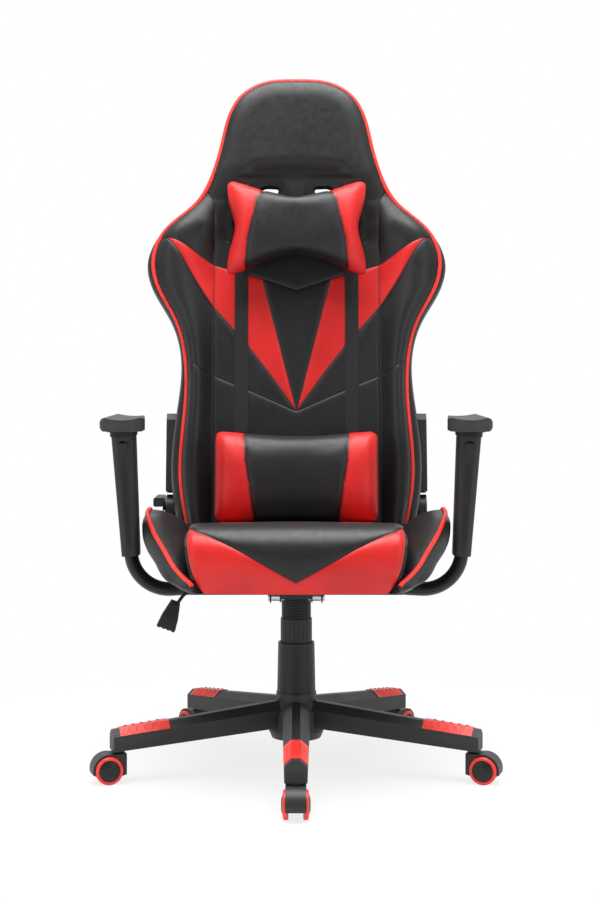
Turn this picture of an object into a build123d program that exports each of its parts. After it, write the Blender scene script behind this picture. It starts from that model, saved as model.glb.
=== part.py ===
from build123d import *
import os
from math import sin, cos, tan, radians

# Office-style racing chair.  Millimetres, +Z up, the sitter faces -Y.
# The origin is on the floor, on the axis of the gas column.
# "right" and "left" are the sitter's own: right is -X, left is +X.

# ---------------------------------------------------------------- driving dimensions
ARM_COUNT = 5
ARM_END_R = 350.0            # radius of the star arms' end faces
ARM_END_BOTTOM = 58.0
ARM_ROOT_BOTTOM = 86.0
HUB_R = 37.5
HUB_TOP = 140.0
HUB_BOTTOM = 60.0
STEM_R = 338.0               # radius of the caster stems
STEM_RADIUS = 5.5
SOCKET_DEPTH = 26.0
GRIP_START = 247.0           # ribbed caps near the arms' ends
GRIP_END = 338.0
GRIP_SKIN = 1.6
GRIP_BARS = 5
GRIP_BAR_HEIGHT = 1.1

WHEEL_RADIUS = 25.0
WHEEL_WIDTH = 12.0
TWIN_GAP = 25.0              # free space between the twin wheels
CASTER_TRAIL = 20.0          # axle behind the swivel axis

TUBE_R = 25.0                # gas column stand tube
TUBE_TOP = 248.0
CYLINDER_R = 14.0            # gas spring's inner cylinder
CYL_BOTTOM = 118.0
CYL_TOP = 344.5
ROD_R = 5.0
MIDDLE_COVER_R = 29.35
UPPER_COVER_R = 27.5
RING_PITCH = 3.7             # rings of the upper cover
RING_COUNT = 12
HOUSING_BOTTOM = 326.0

TILT_Y = -50.0               # tilt pivot
TILT_Z = 328.0
TILT_PIN_R = 5.0
ROCKER_X = -34.0             # cross pin of the height lever
ROCKER_Z = 341.0
LEVER_R = 3.2
PADDLE_TOP = Vector(-222.5, -36.0, 318.0)
PADDLE_LOW = Vector(-241.5, -44.0, 266.0)
PLATE_BOTTOM = 362.0         # mechanism plate
PLATE_BOLTS = [(-72, -90), (72, -90), (-72, 110), (72, 110)]
FRAME_BOTTOM = 352.0
FRAME_TOP = 372.0

SEAT_HALF = 190.0
SEAT_FRONT = -250.0
SEAT_REAR = 190.0
CREST_Z = 477.0
# side bolster of the seat: y, ridge x, ridge z, widest x, widest z, outer x at the foot
BOLSTER_SECTIONS = [(-226, 196, 372, 204, 366, 197), (-180, 208, 390, 221, 378, 203),
                    (-120, 233, 418, 242, 398, 212), (-50, 262, 446, 267, 424, 228),
                    (20, 278, 466, 284, 444, 236), (80, 283, 472, 289, 448, 242),
                    (126, 281, 469, 288, 446, 240), (138, 276, 434, 282, 418, 238),
                    (190, 268, 430, 274, 414, 236)]

ARM_X = 311.5                # armrest post axis where the sleeve starts
ARM_Y = 30.0
ARM_LEAN = 3.5               # degrees outward
ARM_TUBE_Z = 327.0           # centre of the armrest tube at its bend
ARM_BEND = 72.0
SLEEVE_BOTTOM = 395.0
SLEEVE_HEIGHT = 225.0
PAD_BOTTOM = 634.0
PAD_HALF = 43.0
PAD_LENGTH = 250.0
PAD_HEIGHT = 25.0

RECLINE_Y = 250.0            # recline pivot
RECLINE_Z = 465.0
BACK_LEAN = 9.0              # degrees from vertical
# The backrest's own plane: x across, y up the back, and depths measured forward from the recline pivot.
BACK = Plane(origin=(0, RECLINE_Y, RECLINE_Z), x_dir=(1, 0, 0),
             z_dir=(0, -cos(radians(BACK_LEAN)), sin(radians(BACK_LEAN))))
BACK_REAR = -5.0
FOAM_REAR = 35.0
FOAM_FACE = 78.0
BOLSTER_FACE = 108.0
BACK_BOTTOM = -36.0
# half outline of the backrest between its pipings, and of its widest line behind them
EDGE = [(213, BACK_BOTTOM), (228, 50), (220, 200), (220, 290), (242, 372), (281, 442), (291, 490), (266, 552),
        (201, 611), (168, 673), (151, 733), (137, 790), (112, 835), (63, 864), (0, 869)]
GUSSET = [(235, BACK_BOTTOM), (249, 60), (238, 200), (231, 290), (251, 372), (288, 442), (297, 490), (270, 552),
          (203, 611), (170, 673), (153, 733), (140, 790), (114, 836), (65, 867), (0, 872)]
SEAM_X = 166.0               # channel between the back's middle and its side bolsters
HARNESS_SLOPE = 12.5         # degrees that the harness openings climb towards the rear
BEZEL_LIP = 2.5
NECK_LOW = 524.0             # the foam is glued up from three blocks; the middle one has the openings
NECK_HIGH = 674.0
FRAME_DEPTH = 17.0           # steel tube frame inside the back
BRACKET_BOLTS = (80.0, 160.0)
STRAP_X = 110.5
STRAP_WIDTH = 27.0
STRAP_THICK = 2.0
BAND_X = 91.0                # elastic loop of the head pillow
BAND_HEIGHT = 578.0
BAND_WIDTH = 24.0

PILLOW_CORNERS = (136, 458, 640)
PILLOW_LOW = 84.0
PILLOW_HIGH = 172.0
LUMBAR_CORNERS = (161, -30, 146)
LUMBAR_LOW = 82.5
LUMBAR_HIGH = 168.0

RUN = 0.05                   # radial running clearance of pins and shafts
GAP = 0.4                    # clearance between neighbouring bodies

os.makedirs("parts", exist_ok=True)


# ---------------------------------------------------------------- helpers
def save(name, shape):
    export_step(shape, "parts/" + name + ".step")


def group(shapes):
    return Compound(children=list(shapes))


def yz_plane(x):
    """Local X is +Y, local Y is +Z, extrusion runs towards +X."""
    return Plane(origin=(x, 0, 0), x_dir=(0, 1, 0), z_dir=(1, 0, 0))


def xz_plane(y):
    """Local X is +X, local Y is +Z, extrusion runs towards -Y."""
    return Plane(origin=(0, y, 0), x_dir=(1, 0, 0), z_dir=(0, -1, 0))


def polygon(points):
    return make_face(Polyline(*points, close=True))


def block(x0, x1, y0, y1, z0, z1):
    centre = ((x0 + x1) / 2, (y0 + y1) / 2, (z0 + z1) / 2)
    return Pos(*centre) * Box(abs(x1 - x0), abs(y1 - y0), abs(z1 - z0))


def rod(r, z0, z1, x=0.0, y=0.0):
    return Pos(x, y, (z0 + z1) / 2) * Cylinder(r, z1 - z0)


def rod_x(r, x0, x1, y, z):
    return Pos((x0 + x1) / 2, y, z) * Rot(0, 90, 0) * Cylinder(r, abs(x1 - x0))


def ring(r_in, r_out, z0, z1, x=0.0, y=0.0):
    return rod(r_out, z0, z1, x, y) - rod(r_in, z0 - 1, z1 + 1, x, y)


def turned(profile):
    """Body of revolution about Z from (radius, height) points."""
    return revolve(Plane.XZ * polygon(profile), Axis.Z)


def both_sides(shape):
    return [shape, mirror(shape, Plane.YZ)]


def star_angle(index):
    return -90.0 + index * 360.0 / ARM_COUNT


# ---------------------------------------------------------------- five-star base
def arm_section(r, inset=0.0, lift=0.0):
    """Half-hexagon section of an arm: flat top, sloping shoulders, upright sides."""
    t = r / ARM_END_R
    half = 26.0 - 6.5 * t - inset
    top = 134.0 - 39.0 * t - inset * 1.2
    shoulder = top - (14.0 - 4.0 * t)
    bottom = ARM_ROOT_BOTTOM - (ARM_ROOT_BOTTOM - ARM_END_BOTTOM) * t + lift
    flat = 7.5 - inset * 0.4
    points = [(-half, bottom), (-half, shoulder), (-flat, top)]
    points += [(flat, top), (half, shoulder), (half, bottom)]
    return yz_plane(r) * polygon(points)


def star_arm():
    arm = loft([arm_section(0.0), arm_section(ARM_END_R)], ruled=True)
    hollow = loft([arm_section(52.0, 4.0, -2.0), arm_section(316.0, 4.0, -2.0)], ruled=True)
    ribs = loft([arm_section(50.0, 3.5, 4.0), arm_section(318.0, 3.5, 4.0)], ruled=True)
    webs = block(52, 316, -1.5, 1.5, 50, 140)
    for r in (96.0, 140.0, 184.0, 228.0, 272.0):
        webs += block(r - 1.5, r + 1.5, -30, 30, 50, 140)
    return arm - hollow + (ribs & webs)


def make_star_base():
    hub = turned([(0, HUB_BOTTOM), (46, HUB_BOTTOM), (52, 74), (48, 112), (HUB_R, 128),
                  (HUB_R, HUB_TOP), (0, HUB_TOP)])
    base = hub
    arm = star_arm()
    for index in range(ARM_COUNT):
        base += Rot(0, 0, star_angle(index)) * arm
    base -= turned([(0, 40), (24.2, 40), (24.2, HUB_BOTTOM), (TUBE_R, HUB_TOP), (TUBE_R, 150), (0, 150)])
    for index in range(ARM_COUNT):
        collar = ring(STEM_RADIUS + RUN, 11.5, ARM_END_BOTTOM - 2.5, ARM_END_BOTTOM + 4, STEM_R)
        socket = rod(STEM_RADIUS + RUN, ARM_END_BOTTOM - 2, ARM_END_BOTTOM + SOCKET_DEPTH, STEM_R)
        base += Rot(0, 0, star_angle(index)) * collar
        base -= Rot(0, 0, star_angle(index)) * socket
    return base


def grip_section(r, skin):
    """Thin roof-shaped skin lying exactly on the arm's top and shoulders."""
    t = r / ARM_END_R
    half = 26.0 - 6.5 * t
    top = 134.0 - 39.0 * t
    shoulder = top - (14.0 - 4.0 * t)
    inner = [(-half, shoulder), (-7.5, top), (7.5, top), (half, shoulder)]
    outer = [(half + skin * 0.6, shoulder + skin * 0.3), (7.5 + skin * 0.4, top + skin)]
    outer += [(-7.5 - skin * 0.4, top + skin), (-half - skin * 0.6, shoulder + skin * 0.3)]
    return yz_plane(r) * polygon(inner + outer)


def grip_cap():
    cap = loft([grip_section(GRIP_START, GRIP_SKIN), grip_section(GRIP_END, GRIP_SKIN)], ruled=True)
    height = GRIP_SKIN + GRIP_BAR_HEIGHT
    raised = loft([grip_section(GRIP_START, height), grip_section(GRIP_END, height)], ruled=True)
    pitch = (GRIP_END - GRIP_START - 16.0) / GRIP_BARS
    bars = None
    for index in range(GRIP_BARS):
        r = GRIP_START + 12.0 + pitch * (index + 0.5)
        for side in (-1, 1):
            slanted = Pos(r, side * 14.0, 100) * Rot(0, 0, side * -38) * Box(6.5, 14.0, 80)
            bars = slanted if bars is None else bars + slanted
    return cap + (raised & bars)


def make_grip_caps():
    cap = grip_cap()
    return group(Rot(0, 0, star_angle(index)) * cap for index in range(ARM_COUNT))


# ---------------------------------------------------------------- gas column and its covers
def make_stand_tube():
    outer = [(24.2, 45), (24.2, HUB_BOTTOM), (TUBE_R, HUB_TOP), (TUBE_R, TUBE_TOP)]
    inner = [(23.5, TUBE_TOP), (23.5, HUB_TOP), (22.7, HUB_BOTTOM), (22.7, 48.5)]
    floor = [(ROD_R + 0.3, 48.5), (ROD_R + 0.3, 45)]
    return turned(outer + inner + floor)


def make_guide_bush():
    return turned([(CYLINDER_R + RUN, 188), (23.5, 188), (23.5, TUBE_TOP), (TUBE_R, TUBE_TOP),
                   (TUBE_R, TUBE_TOP + 2), (CYLINDER_R + RUN, TUBE_TOP + 2)])


def make_thrust_bearing():
    races = ring(ROD_R + 0.3, 12, 48.5, 50.5) + ring(ROD_R + 0.3, 11, 50.5, 52.5)
    return races + ring(ROD_R + 0.3, 12, 52.5, 54.5)


def make_lower_cover():
    return turned([(HUB_R, HUB_TOP), (HUB_R, 143), (35.75, 147), (34.0, 235.5), (33.3, 237), (29.9, 237),
                   (29.9, 234.5), (32.0, 233), (33.7, 147), (33.7, 143), (26.0, 142), (26.0, HUB_TOP)])


def make_middle_cover():
    body = turned([(28.05, 195), (MIDDLE_COVER_R, 195), (MIDDLE_COVER_R, 280.7), (28.9, 281.5),
                   (28.05, 281.5)])
    flutes = []
    for index in range(22):
        flutes.append(Rot(0, 0, index * 360.0 / 22) * rod(1.9, 203, 276, MIDDLE_COVER_R + 1.2))
    return body - flutes


def make_upper_cover():
    outer = [(25.8, 240), (26.6, 240)]
    top = HOUSING_BOTTOM
    start = top - RING_PITCH * RING_COUNT
    outer.append((26.6, start - 2))
    for index in range(RING_COUNT):
        z = start + index * RING_PITCH
        outer += [(UPPER_COVER_R, z), (UPPER_COVER_R, z + 1.9), (26.7, z + 2.6)]
    outer += [(UPPER_COVER_R, top - 0.2), (UPPER_COVER_R, top)]
    return turned(outer + [(21.4, top), (21.4, top - 3), (25.8, top - 3)])


def make_piston_rod():
    return turned([(0, 42.2), (9, 42.2), (9, 44.7), (ROD_R, 44.7), (ROD_R, 180), (9.9, 180), (9.9, 190),
                   (0, 190)])


def make_gas_cylinder():
    outer = [(ROD_R + RUN, CYL_BOTTOM), (CYLINDER_R, CYL_BOTTOM), (CYLINDER_R, 312), (13.2, CYL_TOP)]
    inner = [(4 + RUN, CYL_TOP), (4 + RUN, 332), (10, 332), (10, CYL_BOTTOM + 10)]
    return turned(outer + inner + [(ROD_R + RUN, CYL_BOTTOM + 10)])


def make_valve_pin():
    return rod(4.0, 322, 346.5) + rod(2.5, 346.5, 347.5)


# ---------------------------------------------------------------- tilt mechanism


def make_tilt_housing():
    side = [(-72, HOUSING_BOTTOM), (-72, 344), (-20, 352), (20, 346), (75, 334), (75, HOUSING_BOTTOM)]
    profile = polygon(side) + Pos(TILT_Y, TILT_Z) * Circle(11)
    cheek = extrude(yz_plane(27.5) * profile, amount=2.5)
    housing = cheek + mirror(cheek, Plane.YZ)
    housing += block(-30, 30, -72, 75, HOUSING_BOTTOM, HOUSING_BOTTOM + 2.5)
    housing += block(-30, 30, -72, -69.5, HOUSING_BOTTOM, 344)
    housing += rod(21, 312, 344)
    housing -= turned([(0, 300), (CYLINDER_R, 300), (CYLINDER_R, 312), (13.2, CYL_TOP), (0, CYL_TOP)])
    housing -= rod_x(TILT_PIN_R, -40, 40, TILT_Y, TILT_Z)
    housing -= rod_x(8.4, -27.5, 27.5, TILT_Y, TILT_Z)
    housing -= block(-31, -27, -9.5, 9.5, 331, 360)
    for side in (-1, 1):
        housing += block(-42, -27.5, side * 8.6, side * 11, 331, 347.5)
    return housing + Pos(ROCKER_X, 0, ROCKER_Z) * Rot(90, 0, 0) * Cylinder(2.5, 22)


def make_tilt_bolts():
    bolt = rod_x(8, 22, 27.5, TILT_Y, TILT_Z) + rod_x(TILT_PIN_R, 27.5, 52, TILT_Y, TILT_Z)
    bolt += rod_x(8.5, 30, 45.6, TILT_Y, TILT_Z) + rod_x(8, 48.9, 52, TILT_Y, TILT_Z)
    return group(both_sides(bolt))


def make_mechanism_plate():
    sheet = RectangleRounded(170, 230, 12)
    plate = extrude(Plane((0, 10, PLATE_BOTTOM)) * sheet, amount=2.5)
    bead = RectangleRounded(110, 150, 10) - RectangleRounded(104, 144, 8)
    plate += extrude(Plane((0, 10, PLATE_BOTTOM - 4)) * bead, amount=4)
    ear = [(-80, PLATE_BOTTOM), (-62, 322), (-38, 322), (-20, PLATE_BOTTOM)]
    profile = polygon(ear) + Pos(TILT_Y, TILT_Z) * Circle(12)
    flange = extrude(yz_plane(46) * profile, amount=2.5)
    plate += both_sides(flange)
    plate -= rod_x(TILT_PIN_R + RUN, -60, 60, TILT_Y, TILT_Z)
    return plate - [rod(4.0, 350, 370, x, y) for x, y in PLATE_BOLTS]


def make_tilt_spring():
    radius, wire, turns = 9.0, 1.6, 5
    low, high = HOUSING_BOTTOM + 2.5, PLATE_BOTTOM - 0.3
    coil_height = high - low - 2 * wire
    path = Pos(0, 0, low + wire) * Helix(coil_height / turns, coil_height, radius)
    start = path @ 0
    section = Plane(origin=start, z_dir=path % 0) * Circle(wire)
    return Pos(0, 58, 0) * sweep(section, path)


# ---------------------------------------------------------------- height lever
def make_valve_rocker():
    """Lever boss on its cross pin, with a tongue that reaches over the gas valve."""
    barrel = Pos(ROCKER_X, 0, ROCKER_Z) * Rot(90, 0, 0)
    rocker = barrel * Cylinder(7, 16)
    rocker += block(-36, 0.8, -6, 6, 347.7, 350.2)
    rocker += block(-38, -30, -6, 6, ROCKER_Z, 350.2)
    rocker += rod_x(6.5, -64, ROCKER_X, 0, ROCKER_Z)
    rocker -= rod_x(LEVER_R + RUN, -70, -40, 0, ROCKER_Z)
    return rocker - barrel * Cylinder(2.5 + RUN, 30)


def make_lever_rod():
    inside = PADDLE_TOP + (PADDLE_LOW - PADDLE_TOP) * 0.3
    points = [(-42, 0, 341), (-88, 0, 341), (-150, -20, 333), (-206, -26, 331), tuple(inside)]
    path = FilletPolyline(*points, radius=[60, 60, 14])
    section = Plane(origin=path @ 0, z_dir=path % 0) * Circle(LEVER_R)
    return sweep(section, path)


def make_lever_paddle():
    along = (PADDLE_LOW - PADDLE_TOP)
    length = along.length
    frame = Plane(origin=PADDLE_TOP, x_dir=(0.93, 0.12, -0.34), z_dir=along.normalized())
    sections = [(0.0, 17, 10), (8.0, 21, 13), (30.0, 31, 13), (length - 4, 36, 9), (length, 33, 6)]
    paddle = loft([frame.offset(h) * RectangleRounded(w, d, d * 0.3) for h, w, d in sections], ruled=True)
    for x in (-9.0, 0.0, 9.0):
        paddle -= frame * (Pos(x, 0, length + 3.2) * Rot(90, 0, 0) * Cylinder(4.5, 40))
    bore_path = make_lever_rod()
    return paddle - bore_path


# ---------------------------------------------------------------- seat
def make_seat_frame():
    outer = block(-185, 185, -205, 240, FRAME_BOTTOM, FRAME_TOP)
    frame = outer - block(-160, 160, -180, 215, FRAME_BOTTOM - 1, FRAME_TOP + 1)
    frame += block(-170, 170, -106, -74, PLATE_BOTTOM + 2.5, FRAME_TOP)
    frame += block(-170, 170, 94, 126, PLATE_BOTTOM + 2.5, FRAME_TOP)
    for side in (-1, 1):
        frame += block(side * 104, side * 170, ARM_Y - 24, ARM_Y + 24, FRAME_BOTTOM, FRAME_TOP)
    return frame - [rod(4.0, 350, 380, x, y) for x, y in PLATE_BOLTS]


def make_seat_bolts():
    bolts = []
    for x, y in PLATE_BOLTS:
        head = rod(6.5, PLATE_BOTTOM - 5, PLATE_BOTTOM, x, y)
        bolts.append(head + rod(4.0, PLATE_BOTTOM, FRAME_TOP - 1, x, y))
    return group(bolts)


def make_seat_cushion():
    """Crowned block whose rear edge slopes away under the foot of the backrest."""
    nose = (SEAT_FRONT + 14, 370)
    rear = (152, 441.5)
    crest = Spline(nose, (SEAT_FRONT, 412), (SEAT_FRONT + 10, 452), (-205, CREST_Z),
                   (-100, 469), (0, 458), (100, 446), rear)
    lower = Polyline(rear, (172, 434), (SEAT_REAR, 414), (SEAT_REAR, FRAME_TOP + GAP),
                     (-206, FRAME_TOP + GAP), (-206, 354), (SEAT_FRONT + 20, 354), nose)
    profile = make_face(crest + lower)
    cushion = extrude(yz_plane(-SEAT_HALF) * profile, amount=2 * SEAT_HALF)
    for side in (-1, 1):
        corner = [(side * 172, -260), (side * 205, -260), (side * 205, -205), (side * SEAT_HALF, -222)]
        cushion -= extrude(Plane((0, 0, 340)) * polygon(corner), amount=160)
    return cushion


def bolster_section(y, ridge_x, ridge_z, wide_x, wide_z, foot_x):
    inner = SEAT_HALF + 2
    foot = 357.0
    level = foot + (ridge_z - foot) * 0.7
    points = [(inner, foot), (inner, level), (max(inner + 1, ridge_x - 12), ridge_z), (ridge_x, ridge_z - 2)]
    points += [(wide_x, wide_z), (foot_x, foot)]
    return xz_plane(y) * polygon(points)


def make_seat_bolsters():
    sections = [bolster_section(*values) for values in BOLSTER_SECTIONS]
    return group(both_sides(loft(sections, ruled=True)))


# ---------------------------------------------------------------- armrests
def arm_plane(height=0.0):
    """Frame of the left armrest post: local Z climbs along the leaning post."""
    lean = radians(ARM_LEAN)
    plane = Plane(origin=(ARM_X, ARM_Y, SLEEVE_BOTTOM), x_dir=(cos(lean), 0, -sin(lean)),
                  z_dir=(sin(lean), 0, cos(lean)))
    return plane.offset(height)


def arm_tube_sweep():
    lean = tan(radians(ARM_LEAN))
    corner_x = ARM_X - (SLEEVE_BOTTOM - ARM_TUBE_Z) * lean
    top_x = ARM_X + 80 * lean
    path = FilletPolyline((100, ARM_Y, ARM_TUBE_Z + 12), (corner_x, ARM_Y, ARM_TUBE_Z),
                          (top_x, ARM_Y, SLEEVE_BOTTOM + 80), radius=ARM_BEND)
    section = Plane(origin=path @ 0, x_dir=(0, 1, 0), z_dir=path % 0) * Ellipse(22, 13)
    return sweep(section, path)


def make_arm_tube():
    return arm_tube_sweep() + block(104, 168, ARM_Y - 22, ARM_Y + 22, 340, FRAME_BOTTOM)


def make_arm_sleeve():
    base = arm_plane()
    top = base.offset(SLEEVE_HEIGHT)
    outer = loft([base * RectangleRounded(33, 52, 11), top * RectangleRounded(44, 60, 12)])
    post_bore = extrude(base.offset(88) * RectangleRounded(22, 44, 5), amount=150)
    button_bore = base * (Pos(0, -28, 208) * Rot(90, 0, 0) * Cylinder(9.2, 16))
    return outer - arm_tube_sweep() - post_bore - button_bore


def make_arm_post():
    post = extrude(arm_plane(100) * RectangleRounded(21.4, 43.4, 4.6), amount=128)
    post -= extrude(arm_plane(99) * RectangleRounded(15, 37, 3), amount=110)
    post += extrude(arm_plane(SLEEVE_HEIGHT + 0.5) * RectangleRounded(48, 64, 12), amount=12.0)
    holder = block(ARM_X - 17, ARM_X + 34, -70, 80, PAD_BOTTOM - 3.5, PAD_BOTTOM)
    return post + holder


def make_arm_pad():
    """Dished pad, widest at the front, that narrows on its inner side towards the rear."""
    half, length = PAD_HALF, PAD_LENGTH
    low, high = PAD_BOTTOM, PAD_BOTTOM + PAD_HEIGHT
    centre_x = ARM_X + 2
    front_y = ARM_Y - 163
    outline = Line((-34, low), (34, low)) + ThreePointArc((34, low), (half, low + 13), (32, high))
    outline += ThreePointArc((32, high), (0, high - 4), (-32, high))
    outline += ThreePointArc((-32, high), (-half, low + 13), (-34, low))
    rear = Plane(origin=(centre_x, front_y + length, 0), x_dir=(1, 0, 0), z_dir=(0, -1, 0))
    pad = extrude(rear * make_face(outline), amount=length)
    corners = [(-half, 0), (half, 0), (half, length), (-half + 25, length)]
    plan = polygon(corners)
    for x, y in corners:
        corner = sorted(plan.vertices(), key=lambda v: (v.X - x) ** 2 + (v.Y - y) ** 2)[0]
        plan = fillet(corner, 38 if y == 0 else 24)
    return pad & extrude(Plane((centre_x, front_y, low - 1)) * plan, amount=40)


def make_arm_button():
    face = Circle(9.0) - Pos(0, 9.5) * Rectangle(30, 10)
    front = Plane(origin=(0, -33, 208), x_dir=(1, 0, 0), z_dir=(0, 1, 0))
    shape = extrude(front * (Rot(0, 0, 180) * face), amount=8)
    return arm_plane() * shape


# ---------------------------------------------------------------- recliner


def back_side_plane(x):
    """Local X is forward depth, local Y climbs the back, extrusion runs towards -X."""
    return Plane(origin=(x, RECLINE_Y, RECLINE_Z), x_dir=BACK.z_dir, z_dir=(-1, 0, 0))


def make_recliner_lower():
    foot = polygon([(200, FRAME_BOTTOM), (272, FRAME_BOTTOM), (270, 440), (228, 440), (222, 372),
                    (200, 366)])
    profile = foot + Pos(RECLINE_Y, RECLINE_Z) * Circle(22)
    profile += polygon([(228, 438), (272, 438), (272, RECLINE_Z), (228, RECLINE_Z)])
    plate = extrude(yz_plane(240) * profile, amount=4)
    plate += block(185, 244, 200, 272, FRAME_BOTTOM, FRAME_BOTTOM + 6)
    plate -= rod_x(8, 230, 250, RECLINE_Y, RECLINE_Z)
    return group(both_sides(plate))


def make_recliner_pivots():
    pin = rod_x(8, 230, 246, RECLINE_Y, RECLINE_Z) + rod_x(11, 229.5, 234, RECLINE_Y, RECLINE_Z)
    return group(both_sides(pin))


def make_recliner_lower_covers():
    shape = polygon([(224, 385), (276, 385), (277, RECLINE_Z), (223, RECLINE_Z)])
    shape += Pos(RECLINE_Y, RECLINE_Z) * Circle(27)
    cover = extrude(yz_plane(244) * shape, amount=17)
    inner = polygon([(227, 388), (273, 388), (274, RECLINE_Z), (226, RECLINE_Z)])
    inner += Pos(RECLINE_Y, RECLINE_Z) * Circle(24)
    left, right = both_sides(cover - extrude(yz_plane(243) * inner, amount=15))
    return group([left, right - rod_x(5.3, -270, -240, RECLINE_Y, RECLINE_Z)])


def make_recline_lever():
    lever = rod_x(10, -265, -261.5, RECLINE_Y, RECLINE_Z) + rod_x(5, -262, -246.4, RECLINE_Y, RECLINE_Z)
    lever += block(-267.5, -264.5, 216, 300, 462, 480)
    grip = block(-286, -266, 216, 300, 470, 488)
    return lever + fillet(grip.edges().filter_by(Axis.Y), 4)


def make_recliner_back_plates():
    profile = Circle(22) + polygon([(-18, 0), (18, 0), (16, 170), (10, 182), (-8, 182), (-14, 170)])
    plate = extrude(back_side_plane(239.4) * profile, amount=4.6)
    plate -= rod_x(8 + RUN, 230, 250, RECLINE_Y, RECLINE_Z)
    for s in BRACKET_BOLTS:
        plate -= back_bolt(s, 4.0, 220, 250)
    return group(both_sides(plate))


def back_bolt(s, r, x0, x1):
    return BACK * (Pos((x0 + x1) / 2, s, 0) * Rot(0, 90, 0) * Cylinder(r, x1 - x0))


def make_back_bolts():
    bolts = []
    for s in BRACKET_BOLTS:
        bolts += both_sides(back_bolt(s, 4.0, 206, 239.4) + back_bolt(s, 7.0, 239.4, 244))
    return group(bolts)


def make_recliner_back_covers():
    outline = polygon([(-24, 32), (28, 32), (30, 60), (28, 176), (20, 189), (-12, 189), (-22, 176)])
    hollow = polygon([(-21, 28), (25, 28), (27, 60), (25, 175), (18.5, 186), (-10.5, 186), (-19, 175)])
    shell = extrude(back_side_plane(262) * outline, amount=33)
    shell -= extrude(back_side_plane(259) * hollow, amount=40)
    return group(both_sides(shell))


# ---------------------------------------------------------------- backrest
# half-width of the piped edge against height up the back
# how far the padded side stands outside the piping, low on the back


def inset_outline(points, inset):
    """The same edge moved inward, each point square to its neighbours."""
    moved = [(points[0][0] - inset, points[0][1] + inset)]
    for before, here, after in zip(points, points[1:], points[2:]):
        along = Vector(after[0] - before[0], after[1] - before[1]).normalized()
        moved.append((here[0] - inset * along.Y, here[1] + inset * along.X))
    return moved + [(0, points[-1][1] - inset)]


def outline_face(points, inset=0.0):
    right = inset_outline(points, inset)
    mirrored = [(-x, s) for x, s in reversed(right[:-1])]
    curve = Spline(*(right + mirrored))
    return make_face(curve + Line(mirrored[-1], right[0]))


def harness_face(grow=0.0):
    """Slanted harness opening on the left side of the back, grown outward by an amount."""
    corners = [(26, 646), (70, 648), (133, 578), (124, 533), (86, 541)]
    radii = [10, 26, 30, 15, 20]
    face = polygon(corners)
    for (x, s), r in zip(corners, radii):
        corner = sorted(face.vertices(), key=lambda v: (v.X - x) ** 2 + (v.Y - s) ** 2)[0]
        face = fillet(corner, r)
    return offset(face, amount=grow) if grow else face


def back_slab(face, low, high):
    return extrude(BACK.offset(low) * face, amount=high - low)


def harness_climb(depth):
    """How far the openings have climbed, going rearwards from the face of the foam."""
    return (FOAM_FACE - depth) * tan(radians(HARNESS_SLOPE))


def climbing(face, low, high):
    """Extrude a face of the back between two depths, along the slope of the harness openings."""
    start = BACK.offset(low) * (Pos(0, harness_climb(low)) * face)
    way = BACK.z_dir * cos(radians(HARNESS_SLOPE)) - BACK.y_dir * sin(radians(HARNESS_SLOPE))
    return extrude(start, amount=(high - low) / cos(radians(HARNESS_SLOPE)), dir=way)


def harness_tunnel(grow, low, high, hollow=None):
    """The left harness opening, or its wall, between two depths."""
    face = harness_face(grow) if hollow is None else harness_face(grow) - harness_face(hollow)
    return climbing(face, low, high)


def make_back_cushion():
    foam = back_slab(outline_face(GUSSET), FOAM_REAR, FOAM_FACE)
    edge = outline_face(EDGE)
    channel = Pos(0, 280) * Rectangle(2 * SEAM_X, 900)
    low_half = edge & (Pos(0, 280) * Rectangle(700, 640))
    foam += back_slab(low_half - channel, FOAM_FACE, BOLSTER_FACE)
    head = outline_face(EDGE, 14) & (Pos(0, NECK_HIGH + 120) * Rectangle(500, 240))
    foam += back_slab(head, FOAM_FACE, FOAM_FACE + 20)
    foam -= both_sides(harness_tunnel(3.0, FOAM_REAR - 1, FOAM_FACE + 40))
    blocks = []
    for low, high in ((-100.0, NECK_LOW), (NECK_LOW, NECK_HIGH), (NECK_HIGH, 1000.0)):
        band = Pos(0, (low + high) / 2) * Rectangle(700, high - low)
        blocks.append(foam & back_slab(band, 0, 150))
    return group(blocks)


def shell_face(inset):
    limit = Pos(0, 85) * Rectangle(2 * (222 - inset), 240) + Pos(0, 585) * Rectangle(700, 776)
    return outline_face(EDGE, 6 + inset) & limit


def make_back_shell():
    shell = back_slab(shell_face(0), BACK_REAR, FOAM_REAR)
    shell -= back_slab(shell_face(5), BACK_REAR + 4, FOAM_REAR + 1)
    shell -= both_sides(harness_tunnel(3.0, BACK_REAR - 1, FOAM_REAR + 1))
    for s in BRACKET_BOLTS:
        shell -= both_sides(back_bolt(s, 4.0, 180, 240))
    return shell


def make_back_frame():
    points = [(195, 12), (195, 380), (112, 790), (-112, 790), (-195, 380), (-195, 12)]
    path = FilletPolyline(*points, radius=[90, 60, 60, 90])
    section = Plane(origin=(195, 12, 0), x_dir=(1, 0, 0), z_dir=(0, 1, 0)) * Circle(11)
    tube = sweep(section, path)
    for s in (30.0, 420.0):
        half = 195 if s < 380 else 186
        tube += Pos(0, s, 0) * Rot(0, 90, 0) * Cylinder(9, 2 * half - 4)
    return BACK.offset(FRAME_DEPTH) * tube


def make_bezels():
    front = harness_tunnel(15, FOAM_FACE, FOAM_FACE + BEZEL_LIP, 0)
    front += harness_tunnel(3, FOAM_REAR + 20, FOAM_FACE + 1, 0)
    rear = harness_tunnel(15, BACK_REAR - BEZEL_LIP, BACK_REAR, 0)
    rear += harness_tunnel(3, BACK_REAR - 1, FOAM_REAR + 19.5, 0)
    return group(both_sides(front) + both_sides(rear))


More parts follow.
